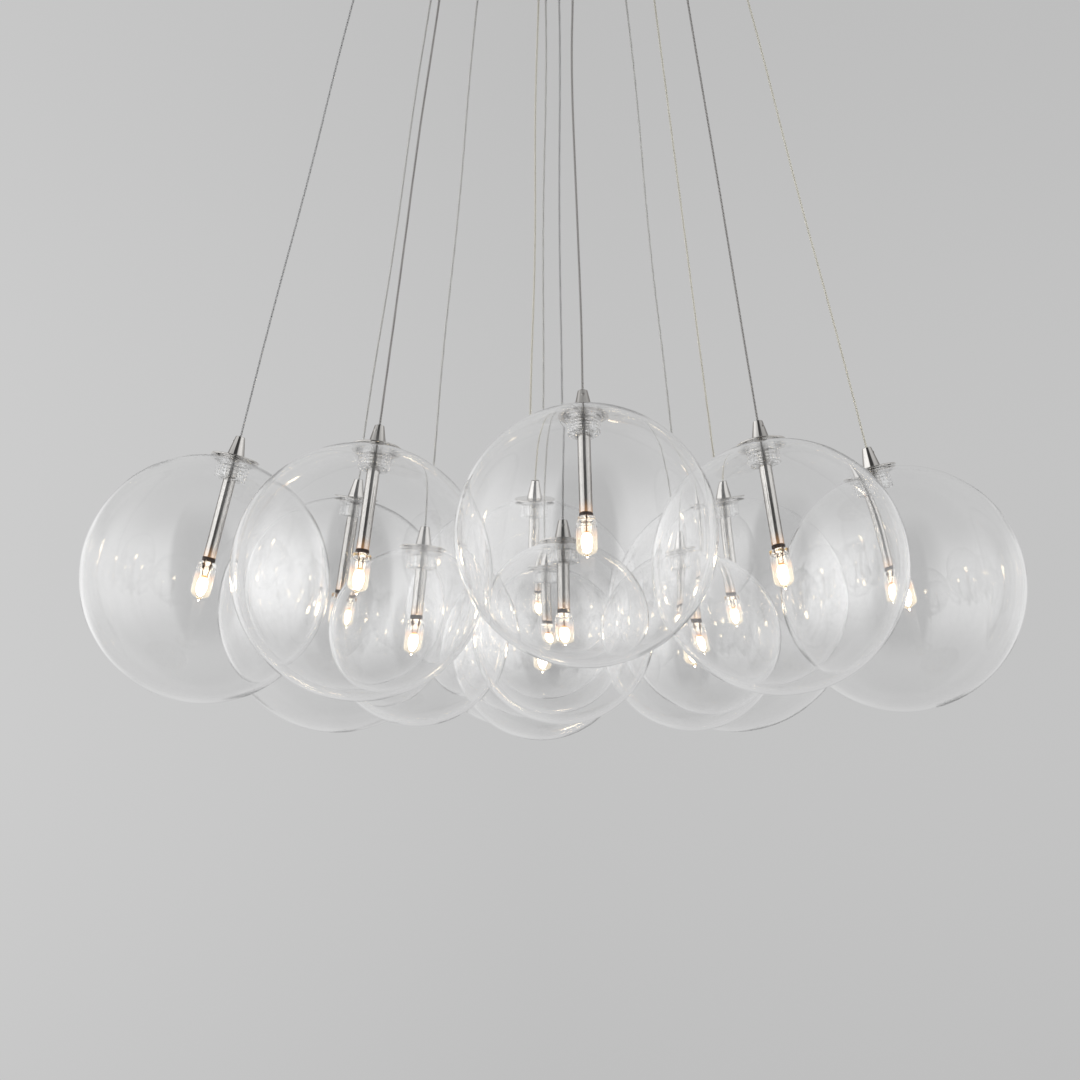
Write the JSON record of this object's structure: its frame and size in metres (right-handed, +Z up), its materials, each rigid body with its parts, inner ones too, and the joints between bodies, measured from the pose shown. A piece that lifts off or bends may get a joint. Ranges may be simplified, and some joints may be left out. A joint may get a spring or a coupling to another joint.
{
  "type": "cluster pendant light",
  "caption": "Ceiling cluster pendant: clear blown-glass globes with capsule bulbs on chrome stems, hung by thin cables from a round chrome canopy.",
  "frame": {"origin": "centre of the ceiling plate's screw pattern, on the ceiling", "axes": "+Z up into the ceiling, the globes hang towards -Z, -Y is the side seen in the picture"},
  "size_m": [0.6106, 0.6278, 0.5477],
  "materials": {
    "clear_glass": "clear blown glass",
    "bulb_glass": "clear capsule bulb, lit warm white",
    "chrome_turned": "polished chrome",
    "chrome_spun": "polished chrome on spun steel",
    "braided_cable": "fine braided wire",
    "zinc_steel": "zinc plated",
    "brass_nut": "plain brass",
    "white_case": "moulded, fine grain",
    "terminal_plastic": "moulded, cloudy"
  },
  "bodies": {
    "root": {"ceiling_plate": "zinc_steel", "canopy_cover": "chrome_spun", "canopy_screws": "chrome_turned", "cable_glands": "chrome_turned", "gland_nuts": "brass_nut", "transformer": "white_case", "supply_terminals": "terminal_plastic", "output_terminals": "terminal_plastic", "fixing_screws": "zinc_steel"},
    "pendant_01": {"cable_01": "braided_cable", "stem_01": "chrome_turned"},
    "globe_body_01": {"globe_01": "clear_glass"},
    "bulb_body_01": {"bulb_01": "bulb_glass"},
    "pendant_02": {"cable_02": "braided_cable", "stem_02": "chrome_turned"},
    "globe_body_02": {"globe_02": "clear_glass"},
    "bulb_body_02": {"bulb_02": "bulb_glass"},
    "pendant_03": {"cable_03": "braided_cable", "stem_03": "chrome_turned"},
    "globe_body_03": {"globe_03": "clear_glass"},
    "bulb_body_03": {"bulb_03": "bulb_glass"},
    "pendant_04": {"cable_04": "braided_cable", "stem_04": "chrome_turned"},
    "globe_body_04": {"globe_04": "clear_glass"},
    "bulb_body_04": {"bulb_04": "bulb_glass"},
    "pendant_05": {"cable_05": "braided_cable", "stem_05": "chrome_turned"},
    "globe_body_05": {"globe_05": "clear_glass"},
    "bulb_body_05": {"bulb_05": "bulb_glass"},
    "pendant_06": {"cable_06": "braided_cable", "stem_06": "chrome_turned"},
    "globe_body_06": {"globe_06": "clear_glass"},
    "bulb_body_06": {"bulb_06": "bulb_glass"},
    "pendant_07": {"cable_07": "braided_cable", "stem_07": "chrome_turned"},
    "globe_body_07": {"globe_07": "clear_glass"},
    "bulb_body_07": {"bulb_07": "bulb_glass"},
    "pendant_08": {"cable_08": "braided_cable", "stem_08": "chrome_turned"},
    "globe_body_08": {"globe_08": "clear_glass"},
    "bulb_body_08": {"bulb_08": "bulb_glass"},
    "pendant_09": {"cable_09": "braided_cable", "stem_09": "chrome_turned"},
    "globe_body_09": {"globe_09": "clear_glass"},
    "bulb_body_09": {"bulb_09": "bulb_glass"},
    "pendant_10": {"cable_10": "braided_cable", "stem_10": "chrome_turned"},
    "globe_body_10": {"globe_10": "clear_glass"},
    "bulb_body_10": {"bulb_10": "bulb_glass"},
    "pendant_11": {"cable_11": "braided_cable", "stem_11": "chrome_turned"},
    "globe_body_11": {"globe_11": "clear_glass"},
    "bulb_body_11": {"bulb_11": "bulb_glass"},
    "pendant_12": {"cable_12": "braided_cable", "stem_12": "chrome_turned"},
    "globe_body_12": {"globe_12": "clear_glass"},
    "bulb_body_12": {"bulb_12": "bulb_glass"}
  },
  "joints": [
    {"name": "swing_01", "type": "hinge", "parent": "root", "child": "pendant_01", "pos_m": [-0.11934, -0.01254, -0.0325], "axis": [-0.1045, 0.9945, 0], "range_deg": [0, 20]},
    {"name": "unscrew_01", "type": "slide", "parent": "pendant_01", "child": "globe_body_01", "axis": [-0.2405, -0.0253, -0.9703], "range_m": [0, 0.11]},
    {"name": "pull_bulb_01", "type": "slide", "parent": "pendant_01", "child": "bulb_body_01", "axis": [-0.2405, -0.0253, -0.9703], "range_m": [0, 0.012]},
    {"name": "swing_02", "type": "hinge", "parent": "root", "child": "pendant_02", "pos_m": [-0.06526, -0.08353, -0.0325], "axis": [-0.788, 0.6157, 0], "range_deg": [0, 20]},
    {"name": "unscrew_02", "type": "slide", "parent": "pendant_02", "child": "globe_body_02", "axis": [-0.1228, -0.1572, -0.9799], "range_m": [0, 0.11]},
    {"name": "pull_bulb_02", "type": "slide", "parent": "pendant_02", "child": "bulb_body_02", "axis": [-0.1228, -0.1572, -0.9799], "range_m": [0, 0.012]},
    {"name": "swing_03", "type": "hinge", "parent": "root", "child": "pendant_03", "pos_m": [-0.07752, 0.07229, -0.0325], "axis": [0.682, 0.7314, 0], "range_deg": [0, 20]},
    {"name": "unscrew_03", "type": "slide", "parent": "pendant_03", "child": "globe_body_03", "axis": [-0.1521, 0.1418, -0.9781], "range_m": [0, 0.11]},
    {"name": "pull_bulb_03", "type": "slide", "parent": "pendant_03", "child": "bulb_body_03", "axis": [-0.1521, 0.1418, -0.9781], "range_m": [0, 0.012]},
    {"name": "swing_04", "type": "hinge", "parent": "root", "child": "pendant_04", "pos_m": [-0.04475, -0.0047, -0.0325], "axis": [-0.1045, 0.9945, 0], "range_deg": [0, 0.3]},
    {"name": "unscrew_04", "type": "slide", "parent": "pendant_04", "child": "globe_body_04", "axis": [-0.0919, -0.0097, -0.9957], "range_m": [0, 0.09]},
    {"name": "pull_bulb_04", "type": "slide", "parent": "pendant_04", "child": "bulb_body_04", "axis": [-0.0919, -0.0097, -0.9957], "range_m": [0, 0.012]},
    {"name": "swing_05", "type": "hinge", "parent": "root", "child": "pendant_05", "pos_m": [-0.00837, 0.11971, -0.0325], "axis": [0.9976, 0.0698, 0], "range_deg": [0, 20]},
    {"name": "unscrew_05", "type": "slide", "parent": "pendant_05", "child": "globe_body_05", "axis": [-0.0186, 0.2666, -0.9636], "range_m": [0, 0.11]},
    {"name": "pull_bulb_05", "type": "slide", "parent": "pendant_05", "child": "bulb_body_05", "axis": [-0.0186, 0.2666, -0.9636], "range_m": [0, 0.012]},
    {"name": "swing_06", "type": "hinge", "parent": "root", "child": "pendant_06", "pos_m": [0.01046, -0.11954, -0.0325], "axis": [-0.9962, -0.0872, 0], "range_deg": [0, 20]},
    {"name": "unscrew_06", "type": "slide", "parent": "pendant_06", "child": "globe_body_06", "axis": [0.0233, -0.2661, -0.9637], "range_m": [0, 0.11]},
    {"name": "pull_bulb_06", "type": "slide", "parent": "pendant_06", "child": "bulb_body_06", "axis": [0.0233, -0.2661, -0.9637], "range_m": [0, 0.012]},
    {"name": "swing_07", "type": "hinge", "parent": "root", "child": "pendant_07", "pos_m": [0.00392, -0.04483, -0.0325], "axis": [-0.9962, -0.0872, 0], "range_deg": [0, 2.5]},
    {"name": "unscrew_07", "type": "slide", "parent": "pendant_07", "child": "globe_body_07", "axis": [0.0064, -0.0731, -0.9973], "range_m": [0, 0.09]},
    {"name": "pull_bulb_07", "type": "slide", "parent": "pendant_07", "child": "bulb_body_07", "axis": [0.0064, -0.0731, -0.9973], "range_m": [0, 0.012]},
    {"name": "swing_08", "type": "hinge", "parent": "root", "child": "pendant_08", "pos_m": [-0.00392, 0.04483, -0.0325], "axis": [0.9962, 0.0872, 0], "range_deg": [0, 2.5]},
    {"name": "unscrew_08", "type": "slide", "parent": "pendant_08", "child": "globe_body_08", "axis": [-0.0064, 0.073, -0.9973], "range_m": [0, 0.09]},
    {"name": "pull_bulb_08", "type": "slide", "parent": "pendant_08", "child": "bulb_body_08", "axis": [-0.0064, 0.073, -0.9973], "range_m": [0, 0.012]},
    {"name": "swing_09", "type": "hinge", "parent": "root", "child": "pendant_09", "pos_m": [0.04475, 0.0047, -0.0325], "axis": [0.1045, -0.9945, 0], "range_deg": [0, 0.3]},
    {"name": "unscrew_09", "type": "slide", "parent": "pendant_09", "child": "globe_body_09", "axis": [0.1005, 0.0106, -0.9949], "range_m": [0, 0.09]},
    {"name": "pull_bulb_09", "type": "slide", "parent": "pendant_09", "child": "bulb_body_09", "axis": [0.1005, 0.0106, -0.9949], "range_m": [0, 0.012]},
    {"name": "swing_10", "type": "hinge", "parent": "root", "child": "pendant_10", "pos_m": [0.07877, -0.07093, -0.0325], "axis": [-0.6691, -0.7431, 0], "range_deg": [0, 20]},
    {"name": "unscrew_10", "type": "slide", "parent": "pendant_10", "child": "globe_body_10", "axis": [0.1481, -0.1333, -0.9799], "range_m": [0, 0.11]},
    {"name": "pull_bulb_10", "type": "slide", "parent": "pendant_10", "child": "bulb_body_10", "axis": [0.1481, -0.1333, -0.9799], "range_m": [0, 0.012]},
    {"name": "swing_11", "type": "hinge", "parent": "root", "child": "pendant_11", "pos_m": [0.11971, 0.00837, -0.0325], "axis": [0.0698, -0.9976, 0], "range_deg": [0, 20]},
    {"name": "unscrew_11", "type": "slide", "parent": "pendant_11", "child": "globe_body_11", "axis": [0.2499, 0.0175, -0.9681], "range_m": [0, 0.11]},
    {"name": "pull_bulb_11", "type": "slide", "parent": "pendant_11", "child": "bulb_body_11", "axis": [0.2499, 0.0175, -0.9681], "range_m": [0, 0.012]},
    {"name": "swing_12", "type": "hinge", "parent": "root", "child": "pendant_12", "pos_m": [0.06671, 0.08238, -0.0325], "axis": [0.7771, -0.6293, 0], "range_deg": [0, 20]},
    {"name": "unscrew_12", "type": "slide", "parent": "pendant_12", "child": "globe_body_12", "axis": [0.1308, 0.1615, -0.9782], "range_m": [0, 0.11]},
    {"name": "pull_bulb_12", "type": "slide", "parent": "pendant_12", "child": "bulb_body_12", "axis": [0.1308, 0.1615, -0.9782], "range_m": [0, 0.012]}
  ]
}
